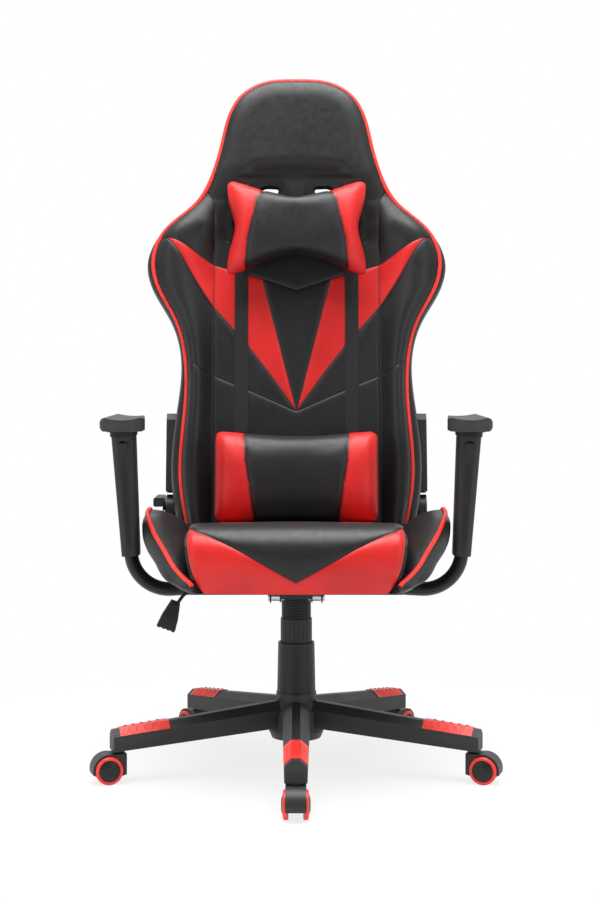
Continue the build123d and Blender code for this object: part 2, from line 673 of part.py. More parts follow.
def make_back_straps():
    """Flat loops: up the front, in through the harness openings, down the rear and under the foot."""
    front, rear = FOAM_FACE + 0.4, BACK_REAR - 0.4
    over, behind = FOAM_FACE + BEZEL_LIP + 0.2, BACK_REAR - BEZEL_LIP - 0.2
    foot, top = BACK_BOTTOM - 0.8, 546.0
    top_rear = top + harness_climb(behind)
    inner = [(front, foot), (front, 506), (over, 514), (over, top), (behind, top_rear), (behind, 530),
             (rear, 522), (rear, foot)]
    t = STRAP_THICK
    outer = [(front + t, foot - t), (front + t, 505.5), (over + t, 513.5), (over + t, top + t)]
    outer += [(behind - t, top_rear + t), (behind - t, 529.5), (rear - t, 521.5), (rear - t, foot - t)]
    loop = polygon(outer) - polygon(inner)
    strap = extrude(back_side_plane(STRAP_X + STRAP_WIDTH / 2) * loop, amount=STRAP_WIDTH)
    return group(both_sides(strap))


def pillow_body(corners, waist, low, high):
    """Padded block whose four sides are drawn in between its corners."""
    x, s0, s1 = corners
    pull_x, pull_s = waist
    mid = (s0 + s1) / 2
    sides = ThreePointArc((x, s0), (x - pull_x, mid), (x, s1))
    sides += ThreePointArc((x, s1), (0, s1 - pull_s), (-x, s1))
    sides += ThreePointArc((-x, s1), (-x + pull_x, mid), (-x, s0))
    sides += ThreePointArc((-x, s0), (0, s0 + pull_s), (x, s0))
    face = make_face(sides)
    thick = high - low
    core = back_slab(face, low + thick * 0.3, low + thick * 0.7)
    small = offset(face, amount=-11, kind=Kind.INTERSECTION)
    return core + back_slab(small, low, high)


def make_head_pillow():
    return pillow_body(PILLOW_CORNERS, (14, 22), PILLOW_LOW, PILLOW_HIGH)


def make_head_band():
    """Elastic loop: from the pillow through both harness openings and across the rear."""
    rear = BACK_REAR - 7
    band = climbing(Pos(BAND_X, BAND_HEIGHT) * Rectangle(STRAP_THICK, BAND_WIDTH), rear, PILLOW_LOW)
    across = Rectangle(2 * BAND_X + STRAP_THICK, BAND_WIDTH)
    loop = back_slab(Pos(0, BAND_HEIGHT + harness_climb(rear)) * across, rear - STRAP_THICK, rear)
    return loop + band + mirror(band, Plane.YZ)


def make_lumbar():
    return pillow_body(LUMBAR_CORNERS, (3, 6), LUMBAR_LOW, LUMBAR_HIGH)


# ---------------------------------------------------------------- casters
def place_caster(shape, index):
    return Rot(0, 0, star_angle(index)) * (Pos(STEM_R, 0, 0) * shape)


def axle_plane(t):
    """Frame on the axle: local X points outward, local Y up, extrusion along the axle."""
    return Plane(origin=(CASTER_TRAIL, t, WHEEL_RADIUS), x_dir=(1, 0, 0), z_dir=(0, -1, 0))


def make_hood():
    half = 17.5
    guard = Circle(29.5) - Pos(0, -37) * Rectangle(80, 60)
    block_side = polygon([(-32, -8), (-12, -14), (0, 0), (0, 29), (-32, 29)])
    body = extrude(axle_plane(half) * (guard + block_side), amount=2 * half)
    core_half = TWIN_GAP / 2 - 0.5
    for side in (-1, 1):
        start = axle_plane(side * core_half if side < 0 else half + 1)
        body -= extrude(start * Circle(WHEEL_RADIUS + 1.2), amount=half + 1 - core_half)
    body += rod(9, 52, 55)
    body -= extrude(axle_plane(30) * Circle(3), amount=60)
    return body - rod(STEM_RADIUS, 40, 60)


def make_caster_pins():
    stem = rod(STEM_RADIUS, 40, ARM_END_BOTTOM + SOCKET_DEPTH - 2)
    stem = stem - ring(STEM_RADIUS - 0.6, STEM_RADIUS + 1, 74, 76)
    axle = extrude(axle_plane(20) * Circle(3), amount=40)
    return [stem, axle]


def make_wheel():
    """Wheel profile turned about the axle, on the -Y side of the caster."""
    inside = TWIN_GAP / 2
    outside = inside + WHEEL_WIDTH
    tread = inside + 9.0
    profile = [(3 + RUN, inside), (WHEEL_RADIUS - 1.5, inside), (WHEEL_RADIUS, inside + 1.5),
               (WHEEL_RADIUS, tread - 2), (WHEEL_RADIUS - 2, tread), (20, tread + 0.4), (19, tread - 0.4),
               (15, tread + 1.2), (9, outside), (0, outside), (0, inside + 8.2), (3 + RUN, inside + 8.2)]
    wheel = turned(profile)
    return Pos(CASTER_TRAIL, 0, WHEEL_RADIUS) * Rot(90, 0, 0) * wheel


# ---------------------------------------------------------------- write the parts
def main():
    save("star_base", make_star_base())
    save("base_grip_caps", make_grip_caps())
    save("gas_stand_tube", make_stand_tube())
    save("column_guide_bush", make_guide_bush())
    save("thrust_bearing", make_thrust_bearing())
    save("lower_column_cover", make_lower_cover())
    save("middle_column_cover", make_middle_cover())
    save("upper_column_cover", make_upper_cover())
    save("piston_rod", make_piston_rod())
    save("gas_inner_cylinder", make_gas_cylinder())
    save("gas_valve_pin", make_valve_pin())
    save("tilt_housing", make_tilt_housing())
    save("tilt_pivot_bolts", make_tilt_bolts())
    save("tilt_spring", make_tilt_spring())
    save("mechanism_plate", make_mechanism_plate())
    save("seat_bolts", make_seat_bolts())
    save("valve_rocker", make_valve_rocker())
    save("lever_rod", make_lever_rod())
    save("lever_paddle", make_lever_paddle())
    save("seat_frame", make_seat_frame())
    save("seat_cushion", make_seat_cushion())
    save("seat_bolsters", make_seat_bolsters())
    save("arm_tubes", group(both_sides(make_arm_tube())))
    save("arm_sleeves", group(both_sides(make_arm_sleeve())))
    for name, shape in (("post", make_arm_post()), ("pad", make_arm_pad()), ("button", make_arm_button())):
        save("left_arm_" + name, shape)
        save("right_arm_" + name, mirror(shape, Plane.YZ))
    save("recliner_lower_plates", make_recliner_lower())
    save("recliner_pivots", make_recliner_pivots())
    save("recliner_lower_covers", make_recliner_lower_covers())
    save("recline_lever", make_recline_lever())
    save("recliner_back_plates", make_recliner_back_plates())
    save("recliner_back_covers", make_recliner_back_covers())
    save("back_bolts", make_back_bolts())
    save("back_cushion", make_back_cushion())
    save("back_shell", make_back_shell())
    save("back_frame", make_back_frame())
    save("harness_bezels", make_bezels())
    save("back_straps", make_back_straps())
    save("head_pillow", make_head_pillow())
    save("head_pillow_band", make_head_band())
    save("lumbar_cushion", make_lumbar())
    hood, pins, wheel = make_hood(), make_caster_pins(), make_wheel()
    wheels = [wheel, mirror(wheel, Plane.XZ)]
    for index in range(ARM_COUNT):
        name = "caster_" + str(index + 1)
        save(name + "_hood", place_caster(hood, index))
        save(name + "_pins", group(place_caster(pin, index) for pin in pins))
        save(name + "_wheels", group(place_caster(side, index) for side in wheels))


main()
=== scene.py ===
from math import atan2, cos, pi, radians, sin

import bpy
import numpy as np
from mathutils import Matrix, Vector, geometry


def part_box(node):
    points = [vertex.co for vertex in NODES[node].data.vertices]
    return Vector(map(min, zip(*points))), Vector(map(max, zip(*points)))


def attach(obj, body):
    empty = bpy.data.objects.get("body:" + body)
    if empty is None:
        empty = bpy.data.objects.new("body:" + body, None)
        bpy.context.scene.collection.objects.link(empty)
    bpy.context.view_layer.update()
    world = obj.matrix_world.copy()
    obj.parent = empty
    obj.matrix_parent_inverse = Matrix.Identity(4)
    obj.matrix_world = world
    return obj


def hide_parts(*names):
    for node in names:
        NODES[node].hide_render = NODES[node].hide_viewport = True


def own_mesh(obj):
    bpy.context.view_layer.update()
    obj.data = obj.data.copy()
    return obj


# Racing-style office chair: upholstery, finishes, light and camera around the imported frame.
# Outlines and sizes are in mm, and meshes are in metres. Right is +X, and the sitter faces -Y.
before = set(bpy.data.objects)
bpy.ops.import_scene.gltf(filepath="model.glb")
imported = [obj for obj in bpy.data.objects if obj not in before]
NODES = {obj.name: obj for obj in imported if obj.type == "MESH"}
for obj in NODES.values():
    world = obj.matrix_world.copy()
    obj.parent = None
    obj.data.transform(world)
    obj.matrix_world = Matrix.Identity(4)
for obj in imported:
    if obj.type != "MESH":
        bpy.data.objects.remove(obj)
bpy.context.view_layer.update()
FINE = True

# ------------------------------------------------------------ sizes (mm)
LEAN = radians(9)              # the backrest leans back by this much
PIVOT_Y, PIVOT_Z = 250, 465    # recline axis
# half outlines up the backrest: the piping, and the widest line behind it
EDGE = [(213, -42), (228, 50), (220, 200), (221, 290), (242, 372), (279, 442), (288, 490), (265, 552),
        (201, 611), (168, 673), (151, 733), (137, 790), (112, 834), (63, 862), (0, 867)]
GUSSET = [(235, -42), (249, 60), (238, 200), (232, 290), (254, 372), (293, 442), (302, 490), (273, 552),
          (203, 611), (170, 673), (153, 733), (140, 790), (114, 836), (65, 867), (0, 872)]
HOLE = [(26, 646), (70, 648), (133, 578), (124, 533), (86, 541)]
HOLE_FILLETS = (10, 26, 30, 15, 20)
HOLE_MARGIN = 4                # the leather is cut back from the harness hole by this much
HOLE_RISE = (0, 18.4)          # the holes climb by this much on their way to the rear cover
SEAM_X = 166                   # seam between the back's middle and its side bolsters
FACE_N = 78                    # face of the foam, forward of the recline axis
PIPE_N = 80
BACK_PIPE_RADIUS = 4.5
SEAT_PIPE_RADIUS = 4.2
SEAT_HALF = 190


# ------------------------------------------------------------ plane geometry
def spline(points, counts):
    """The smooth curve through the points. counts is a step in mm, or the number of pieces of each span."""
    p = np.array(points, float)
    h = np.linalg.norm(np.diff(p, axis=0), axis=1)
    t = np.concatenate([[0], np.cumsum(h)])
    n = len(p)
    if not hasattr(counts, "__len__"):
        counts = [max(1, round(x / counts)) for x in h]
    matrix, rhs = np.eye(n), np.zeros_like(p)
    for i in range(1, n - 1):
        matrix[i, i - 1:i + 2] = h[i - 1], 2 * (h[i - 1] + h[i]), h[i]
        rhs[i] = 6 * ((p[i + 1] - p[i]) / h[i] - (p[i] - p[i - 1]) / h[i - 1])
    m = np.linalg.solve(matrix, rhs)
    spans = [np.linspace(t[i], t[i + 1], counts[i], endpoint=False) for i in range(n - 1)]
    q = np.concatenate(spans + [[t[-1]]])
    k = np.clip(np.searchsorted(t, q, side="right") - 1, 0, n - 2)
    a, b, w = (t[k + 1] - q)[:, None], (q - t[k])[:, None], h[k][:, None]
    bend = (m[k] * a ** 3 + m[k + 1] * b ** 3) / (6 * w)
    return bend + (p[k] / w - m[k] * w / 6) * a + (p[k + 1] / w - m[k + 1] * w / 6) * b


def straight(points, step):
    """Points about a step apart along straight runs."""
    p = np.array(points, float)
    out = []
    for a, b in zip(p[:-1], p[1:]):
        n = max(1, round(np.linalg.norm(b - a) / step))
        out += [a + (b - a) * i / n for i in range(n)]
    return np.array(out + [p[-1]])


def mirrored(chain):
    return np.array(chain) * (-1, 1)


def filleted(corners, radii, step=2.5):
    """A closed outline whose corners are rounded."""
    out = []
    n = len(corners)
    for i in range(n):
        p, a, b = (np.array(corners[j % n], float) for j in (i, i - 1, i + 1))
        u, v = (a - p) / np.linalg.norm(a - p), (b - p) / np.linalg.norm(b - p)
        half = np.arccos(np.clip(u @ v, -1, 1)) / 2
        d = radii[i] / np.tan(half)
        c = p + (u + v) / np.linalg.norm(u + v) * radii[i] / np.sin(half)
        s, e = p + u * d - c, p + v * d - c
        a0, a1 = atan2(s[1], s[0]), atan2(e[1], e[0])
        turn = (a1 - a0 + pi) % (2 * pi) - pi
        k = max(2, int(abs(turn) * radii[i] / step))
        angles = [a0 + turn * j / k for j in range(k + 1)]
        out += [c + radii[i] * np.array((cos(angle), sin(angle))) for angle in angles]
    closed = straight(out + [out[0]], step * 1.6)
    return closed[:-1]


def inside(points, polygon):
    """Which points lie inside the polygon."""
    x, y = points[:, 0], points[:, 1]
    result = np.zeros(len(points), bool)
    a = np.array(polygon, float)
    b = np.roll(a, -1, axis=0)
    for (x0, y0), (x1, y1) in zip(a, b):
        crosses = (y0 > y) != (y1 > y)
        with np.errstate(divide="ignore", invalid="ignore"):
            result ^= crosses & (x < (x1 - x0) * (y - y0) / (y1 - y0) + x0)
    return result


def distance(points, chain, closed=False):
    """How far each point is from a chain of straight pieces."""
    a = np.array(chain, float)
    b = np.roll(a, -1, axis=0)
    if not closed:
        a, b = a[:-1], b[:-1]
    best = np.full(len(points), 1e9)
    for p, q in zip(a, b):
        d = q - p
        t = np.clip(((points - p) @ d) / max(d @ d, 1e-9), 0, 1)
        best = np.minimum(best, np.linalg.norm(points - p - t[:, None] * d, axis=1))
    return best


def chain_direction(chain, closed):
    """The way each point of a chain heads, at no particular length."""
    if closed:
        return np.roll(chain, -1, axis=0) - np.roll(chain, 1, axis=0)
    return np.gradient(chain, axis=0)


def inset(chain, amount):
    """A closed outline moved inwards (it runs anticlockwise)."""
    p = np.array(chain, float)
    t = chain_direction(p, True)
    t /= np.linalg.norm(t, axis=1)[:, None]
    return p + np.stack([-t[:, 1], t[:, 0]], axis=1) * amount


def pattern(outline, seams, holes=(), spacing=7.0):
    """Triangles over an outline, with mesh edges along every seam.
    Returns points, triangles and each point's distance to the nearest seam."""
    points, edges = [], []
    chains = [(np.array(outline), True)] + [(np.array(h), True) for h in holes]
    chains += [(np.array(s), False) for s in seams]
    for chain, closed in chains:
        start = len(points)
        points += list(chain)
        n = len(chain)
        edges += [(start + i, start + (i + 1) % n) for i in range(n if closed else n - 1)]
    extra = []
    for chain, closed in chains:
        t = chain_direction(chain, closed)
        t /= np.linalg.norm(t, axis=1)[:, None] + 1e-9
        normal = np.stack([-t[:, 1], t[:, 0]], axis=1)
        for off in (1.4, 3.6):
            extra += [chain + normal * off, chain - normal * off]
    lo, hi = np.min(outline, axis=0), np.max(outline, axis=0)
    rows = np.arange(lo[1], hi[1], spacing * 0.866)
    columns = np.arange(lo[0], hi[0], spacing)
    grid = np.array([(x + (i % 2) * spacing / 2, y) for i, y in enumerate(rows) for x in columns])
    near = np.min([distance(grid, c, k) for c, k in chains], axis=0)
    extra.append(grid[near > 6])
    extra = np.concatenate(extra)
    keep = inside(extra, outline)
    for h in holes:
        keep &= ~inside(extra, h)
    extra = extra[keep]
    near = np.min([distance(extra, c, k) for c, k in chains], axis=0)
    extra = extra[near > 1.2]
    allpts = np.concatenate([np.array(points), extra])
    made = geometry.delaunay_2d_cdt([Vector(p) for p in allpts], edges, [], 0, 1e-4, False)
    verts = np.array([tuple(v) for v in made[0]])
    tris = np.array([f for f in made[2] if len(f) == 3])
    centre = verts[tris].mean(axis=1)
    keep = inside(centre, outline)
    for h in holes:
        keep &= ~inside(centre, h)
    tris = tris[keep]
    seam_d = np.min([distance(verts, s) for s in seams], axis=0)
    return verts, tris, seam_d


def smoothstep(a, b, x):
    t = np.clip((x - a) / (b - a), 0, 1)
    return t * t * (3 - 2 * t)


def roll(d, radius):
    """0 at an edge, 1 from radius inwards, along a quarter ellipse."""
    t = np.clip(d / radius, 0, 1)
    return np.sqrt(1 - (1 - t) ** 2)


def back_point(x, s, n):
    """A point of the backrest: x across, s up the back, n forward of the recline axis. Metres out."""
    x, s, n = np.broadcast_arrays(x, s, n)
    y = PIVOT_Y + s * sin(LEAN) - n * cos(LEAN)
    z = PIVOT_Z + s * cos(LEAN) + n * sin(LEAN)
    return np.stack([x, y, z], axis=-1) / 1000


# ------------------------------------------------------------ materials
def new_material(name):
    m = bpy.data.materials.new(name)
    m.use_nodes = True
    return m, m.node_tree.nodes, m.node_tree.links, m.node_tree.nodes["Principled BSDF"]


def combined(nodes, links, operation, first, second):
    """Two values joined by one operation."""
    node = nodes.new("ShaderNodeMath")
    node.operation = operation
    links.new(first, node.inputs[0])
    links.new(second, node.inputs[1])
    return node.outputs[0]


def map_range(nodes, links, value, source, target):
    """A value mapped from one range to another, and held at its ends."""
    node = nodes.new("ShaderNodeMapRange")
    node.inputs["From Min"].default_value, node.inputs["From Max"].default_value = source
    node.inputs["To Min"].default_value, node.inputs["To Max"].default_value = target
    links.new(value, node.inputs["Value"])
    return node


def noise(nodes, links, coord, scale, detail=3, rough=0.5):
    n = nodes.new("ShaderNodeTexNoise")
    n.inputs["Scale"].default_value = scale
    n.inputs["Detail"].default_value = detail
    n.inputs["Roughness"].default_value = rough
    links.new(coord, n.inputs["Vector"])
    return n.outputs["Fac"]


def ramp(nodes, links, fac, stops):
    r = nodes.new("ShaderNodeValToRGB")
    while len(r.color_ramp.elements) < len(stops):
        r.color_ramp.elements.new(0.5)
    for e, (pos, col) in zip(r.color_ramp.elements, stops):
        e.position = pos
        e.color = (*col, 1) if hasattr(col, "__len__") else (col, col, col, 1)
    links.new(fac, r.inputs["Fac"])
    return r.outputs["Color"]


def bump(nodes, links, height, strength, dist, normal=None):
    b = nodes.new("ShaderNodeBump")
    b.inputs["Strength"].default_value = strength
    b.inputs["Distance"].default_value = dist
    links.new(height, b.inputs["Height"])
    if normal is not None:
        links.new(normal, b.inputs["Normal"])
    return b.outputs["Normal"]


def leather(name, colour, rough=(0.36, 0.5), grain=0.5):
    """Coated leather: pebbled grain, faint long creases, worn lighter ridges, and painted shade darkening it
    along the seams.
    """
    m, nodes, links, shader = new_material(name)
    coord = nodes.new("ShaderNodeTexCoord").outputs["Object"]
    cells = nodes.new("ShaderNodeTexVoronoi")
    cells.feature = "SMOOTH_F1"
    cells.inputs["Scale"].default_value = 620
    links.new(coord, cells.inputs["Vector"])
    creases = noise(nodes, links, coord, 90, 6, 0.62)
    broad = noise(nodes, links, coord, 9, 3)
    low = tuple(c * 0.86 for c in colour)
    high = tuple(min(1, c * 1.12 + 0.002) for c in colour)
    tint = ramp(nodes, links, broad, [(0.3, low), (0.7, high)])
    edge = nodes.new("ShaderNodeNewGeometry").outputs["Pointiness"]
    worn = ramp(nodes, links, edge, [(0.5, 0.0), (0.58, 0.35)])
    mix = nodes.new("ShaderNodeMix")
    mix.data_type = "RGBA"
    links.new(worn, mix.inputs["Factor"])
    links.new(tint, mix.inputs["A"])
    mix.inputs["B"].default_value = (*[min(1, c * 1.2 + 0.004) for c in colour], 1)
    # painted shade: near a seam the colour darkens to a dark line, standing in for the shade in the seam's
    # groove
    seam = nodes.new("ShaderNodeAttribute")
    seam.attribute_name = "seam"
    sewn = nodes.new("ShaderNodeMix")
    sewn.data_type = "RGBA"
    sewn.inputs["B"].default_value = (*[c * 0.12 for c in colour], 1)
    links.new(seam.outputs["Fac"], sewn.inputs["Factor"])
    links.new(mix.outputs["Result"], sewn.inputs["A"])
    links.new(sewn.outputs["Result"], shader.inputs["Base Color"])
    gloss = ramp(nodes, links, creases, [(0.35, rough[0]), (0.7, rough[1])])
    links.new(gloss, shader.inputs["Roughness"])
    n = bump(nodes, links, creases, 0.2 * grain, 0.0005)
    n = bump(nodes, links, cells.outputs["Distance"], 0.4 * grain, 0.00025, n)
    links.new(n, shader.inputs["Normal"])
    shader.inputs["Specular IOR Level"].default_value = 0.36
    return m


def plastic(name, colour, rough=(0.42, 0.55), grain=0.35, scale=900, metal=0.0, worn=0.5):
    """Moulded or painted surface with a fine texture and lighter, worn edges."""
    m, nodes, links, shader = new_material(name)
    coord = nodes.new("ShaderNodeTexCoord").outputs["Object"]
    fine = noise(nodes, links, coord, scale, 4, 0.6)
    broad = noise(nodes, links, coord, 14, 4, 0.6)
    low = tuple(c * 0.85 for c in colour)
    high = tuple(min(1, c * 1.15) for c in colour)
    tint = ramp(nodes, links, broad, [(0.3, low), (0.7, high)])
    edge = nodes.new("ShaderNodeNewGeometry").outputs["Pointiness"]
    wear = ramp(nodes, links, edge, [(0.51, 0.0), (0.6, worn)])
    mix = nodes.new("ShaderNodeMix")
    mix.data_type = "RGBA"
    links.new(wear, mix.inputs["Factor"])
    links.new(tint, mix.inputs["A"])
    mix.inputs["B"].default_value = (*[min(1, c * 1.5 + 0.02) for c in colour], 1)
    links.new(mix.outputs["Result"], shader.inputs["Base Color"])
    links.new(ramp(nodes, links, broad, [(0.3, rough[0]), (0.7, rough[1])]), shader.inputs["Roughness"])
    links.new(bump(nodes, links, fine, grain, 0.0004), shader.inputs["Normal"])
    shader.inputs["Metallic"].default_value = metal
    shader.inputs["Specular IOR Level"].default_value = 0.5 if metal else 0.36
    return m


def woven(name, colour):
    """Elastic webbing: fine ribs across, crossed by a coarser warp."""
    m, nodes, links, shader = new_material(name)
    coord = nodes.new("ShaderNodeTexCoord").outputs["Object"]
    heights = []
    for direction, scale in (("X", 420), ("Z", 260)):
        w = nodes.new("ShaderNodeTexWave")
        w.bands_direction = direction
        w.inputs["Scale"].default_value = scale
        w.inputs["Distortion"].default_value = 0.6
        links.new(coord, w.inputs["Vector"])
        heights.append(w.outputs["Fac"])
    weave = combined(nodes, links, "MAXIMUM", *heights)
    dark, pale = (tuple(c * k for c in colour) for k in (0.6, 1.3))
    links.new(ramp(nodes, links, weave, [(0.2, dark), (0.9, pale)]), shader.inputs["Base Color"])
    links.new(bump(nodes, links, weave, 0.6, 0.0004), shader.inputs["Normal"])
    shader.inputs["Roughness"].default_value = 0.85
    shader.inputs["Sheen Weight"].default_value = 0.05
    return m


BLACK = (0.0095, 0.0098, 0.0105)
RED = (0.52, 0.010, 0.009)
black_leather = leather("black_leather", BLACK)
red_leather = leather("red_leather", RED)
red_piping = leather("red_piping", (0.78, 0.032, 0.022), (0.4, 0.5), 0.3)
base_nylon = plastic("base_nylon", (0.020, 0.020, 0.021), (0.42, 0.52), 0.5, 1100)
cover_plastic = plastic("cover_plastic", (0.010, 0.010, 0.0105), (0.38, 0.5), 0.3, 1300)
bezel_plastic = plastic("bezel_plastic", (0.006, 0.006, 0.0065), (0.3, 0.4), 0.2, 1300, worn=0.2)
armrest_plastic = plastic("armrest_plastic", (0.010, 0.010, 0.0105), (0.45, 0.58), 0.6, 800)
red_plastic = plastic("red_plastic", (0.74, 0.035, 0.025), (0.3, 0.42), 0.2, 900, worn=0.3)
powder_coat = plastic("powder_coat", (0.009, 0.009, 0.010), (0.35, 0.5), 0.4, 600)
zinc_plate = plastic("zinc_plate", (0.55, 0.55, 0.56), (0.25, 0.42), 0.15, 500, metal=1.0)
bronze = plastic("bronze", (0.5, 0.36, 0.16), (0.3, 0.45), 0.15, 500, metal=1.0)
pad_skin = plastic("pad_skin", (0.016, 0.016, 0.017), (0.5, 0.62), 0.8, 500)
webbing = woven("webbing", (0.007, 0.007, 0.0075))

FINISH = {
    "star_base": base_nylon, "base_grip_caps": red_plastic, "gas_stand_tube": powder_coat,
    "column_guide_bush": cover_plastic, "thrust_bearing": bronze, "lower_column_cover": cover_plastic,
    "middle_column_cover": cover_plastic, "upper_column_cover": cover_plastic, "piston_rod": zinc_plate,
    "gas_inner_cylinder": powder_coat, "gas_valve_pin": zinc_plate, "tilt_housing": powder_coat,
    "tilt_pivot_bolts": zinc_plate, "mechanism_plate": powder_coat,
    "seat_bolts": zinc_plate, "valve_rocker": cover_plastic, "lever_rod": powder_coat,
    "lever_paddle": cover_plastic, "seat_frame": powder_coat, "arm_tubes": powder_coat,
    "arm_sleeves": armrest_plastic, "left_arm_post": armrest_plastic, "right_arm_post": armrest_plastic,
    "left_arm_pad": pad_skin, "right_arm_pad": pad_skin, "left_arm_button": cover_plastic,
    "right_arm_button": cover_plastic, "recliner_lower_plates": powder_coat, "recliner_pivots": zinc_plate,
    "recliner_lower_covers": cover_plastic, "recline_lever": cover_plastic,
    "recliner_back_plates": powder_coat, "recliner_back_covers": cover_plastic,
    "back_bolts": zinc_plate, "back_frame": powder_coat,
    "harness_bezels": bezel_plastic, "back_straps": webbing, "head_pillow_band": webbing,
}
for i in range(1, 6):
    FINISH[f"caster_{i}_hood"] = cover_plastic
    FINISH[f"caster_{i}_pins"] = zinc_plate
    FINISH[f"caster_{i}_wheels"] = cover_plastic
for node, material in FINISH.items():
    o = NODES[node]
    o.data.materials.clear()
    o.data.materials.append(material)


# the wheels' treads are red; their hubs and inner rims are black
AXLE_CIRCLE = 0.358            # metres from the column to the caster axles
WHEEL_RADIUS = 0.025
TREAD_RADIUS = 0.0196          # the red starts this far from the axle, and this far out along it
TREAD_START = 0.0136
for i in range(5):
    a = radians(-90 + 72 * i)
    axle = Vector((-sin(a), cos(a), 0))
    hub = Vector((AXLE_CIRCLE * cos(a), AXLE_CIRCLE * sin(a), WHEEL_RADIUS))
    wheel = NODES[f"caster_{i + 1}_wheels"]
    wheel.data.materials.append(red_plastic)
    for face in wheel.data.polygons:
        arm = wheel.matrix_world @ face.center - hub
        along_axle = arm.dot(axle)
        radius = (arm - axle * along_axle).length
        face.material_index = int(radius > TREAD_RADIUS and abs(along_axle) > TREAD_START)


# ------------------------------------------------------------ mesh building
def piece(name, verts, faces, materials, body, indices=None):
    """A smooth mesh object in metres that rides on a body."""
    mesh = bpy.data.meshes.new(name)
    mesh.from_pydata([tuple(v) for v in verts], [], [tuple(int(i) for i in f) for f in faces])
    for m in materials:
        mesh.materials.append(m)
    if indices is not None:
        mesh.polygons.foreach_set("material_index", np.array(indices, np.int32))
    mesh.polygons.foreach_set("use_smooth", np.full(len(mesh.polygons), True))
    mesh.validate()
    mesh.update()
    o = bpy.data.objects.new(name, mesh)
    bpy.context.scene.collection.objects.link(o)
    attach(o, body)
    return o


def paint_seam_shade(o, seam_d, width=1.1):
    """Stores how near each point is to a seam, which the leather paints as a dark line of painted shade in
    the seam's groove.
    """
    near = o.data.attributes.new("seam", "FLOAT", "POINT")
    near.data.foreach_set("value", np.exp(-(np.array(seam_d) / width) ** 2).astype(np.float32))


def loft(rings):
    """Quads between closed rings of equal length. Returns vertices and faces."""
    n = len(rings[0])
    verts = np.concatenate(rings)
    faces = []
    for r in range(len(rings) - 1):
        for i in range(n):
            j = (i + 1) % n
            faces.append((r * n + i, r * n + j, (r + 1) * n + j, (r + 1) * n + i))
    return verts, faces


def tube(name, path, radius, material, body, sides=10, up=(0.0, 1.0, 0.2)):
    """A round bar with capped ends, swept along an open path in metres."""
    p = np.array(path, float)
    n = len(p)
    t = chain_direction(p, False)
    t /= np.linalg.norm(t, axis=1)[:, None]
    side = np.cross(t, up)
    side /= np.linalg.norm(side, axis=1)[:, None]
    other = np.cross(side, t)
    rings = []
    for k in range(sides):
        a = 2 * pi * k / sides
        rings.append(p + (side * cos(a) + other * sin(a)) * radius)
    verts = np.stack(rings, axis=1).reshape(-1, 3)
    faces = []
    for i in range(n - 1):
        here, beyond = i * sides, (i + 1) * sides
        for k in range(sides):
            after = (k + 1) % sides
            faces.append((here + k, here + after, beyond + after, beyond + k))
    faces.append(tuple(range(sides))[::-1])
    faces.append(tuple((n - 1) * sides + k for k in range(sides)))
    return piece(name, verts, faces, [material], body)


# ------------------------------------------------------------ backrest
STEP = 5.0
EDGE_SPANS = zip(EDGE[:-1], EDGE[1:])
EDGE_COUNTS = [max(2, round(np.hypot(b[0] - a[0], b[1] - a[1]) / STEP)) for a, b in EDGE_SPANS]


def closed_outline(points):
    """The right half's points made into a closed outline, anticlockwise from the lower right,
    and how many of its points come before the foot."""
    full = spline(list(points) + [(-x, s) for x, s in points[-2::-1]], EDGE_COUNTS + EDGE_COUNTS[::-1])
    foot = straight([full[-1], full[0]], STEP)[1:-1]
    return np.concatenate([full, foot]), len(full)


edge_outline, edge_open = closed_outline(EDGE)
gusset_outline, _ = closed_outline(GUSSET)
# the gusset's foot gets as many points as the edge's, so that the two can be lofted
foot_count = len(edge_outline) - edge_open
foot_points = straight([gusset_outline[edge_open - 1], gusset_outline[0]], 1)
foot_chosen = np.linspace(0, len(foot_points) - 1, foot_count + 2).round().astype(int)[1:-1]
gusset_outline = np.concatenate([gusset_outline[:edge_open], foot_points[foot_chosen]])

hole_right = filleted(HOLE, HOLE_FILLETS)
hole_left = mirrored(hole_right)[::-1]
neck = [(-133, 578), (-124, 533), (-86, 538), (0, 560), (86, 538), (124, 533), (133, 578),
        (70, 650), (0, 654), (-70, 650)]


def half_width(s):
    """Half width of the front face between the pipings at height s."""
    right = edge_outline[:edge_open // 2 + 1]
    return np.interp(s, right[:, 1], right[:, 0])


def back_depth(points, seam_d):
    """How far forward the leather stands."""
    x, s = np.abs(points[:, 0]), points[:, 1]
    w = half_width(s)
    rim = distance(points, edge_outline[:edge_open])
    hollow = distance(points, neck, True)
    hollow = np.where(inside(points, np.array(neck)), 0, hollow)
    # side bolsters: one smooth hump between the side seam and the piping
    u = np.clip((x - SEAM_X) / np.maximum(w - SEAM_X, 1), 0, 1)
    bolster = FACE_N - 2 + 29 * np.sin(pi * u ** 1.45) ** 0.9 + 4 * smoothstep(0.6, 1, u)
    # shoulders: the humps run out upwards, and inwards round the harness openings
    shoulder = FACE_N - 2 + 26 * (1 - smoothstep(545, 665, s)) * smoothstep(2, 62, hollow)
    shoulder = PIPE_N + (shoulder - PIPE_N) * roll(rim, 26)
    bolster += (shoulder - bolster) * smoothstep(500, 585, s)
    # head: puffed, with a soft shoulder along the piping
    head = 18 * smoothstep(8, 52, hollow) * smoothstep(560, 690, s)
    crown = 2.5 * np.cos(np.clip(x / SEAM_X, 0, 1) * pi / 2) * (1 - smoothstep(500, 600, s))
    centre = FACE_N + head + crown
    centre = PIPE_N + (centre - PIPE_N) * np.where(centre > PIPE_N, roll(rim, 40), smoothstep(0, 14, rim))
    n = np.where(((x > SEAM_X) | (s > 530)) & (s < 665), np.maximum(bolster, centre - 2), centre)
    puff = 1.7 * (1 - np.exp(-seam_d / 9)) - 1.7
    groove = -1.0 * np.exp(-(seam_d / 1.7) ** 2)
    return n + puff + groove


def both(chain):
    return [np.array(chain), mirrored(chain)]


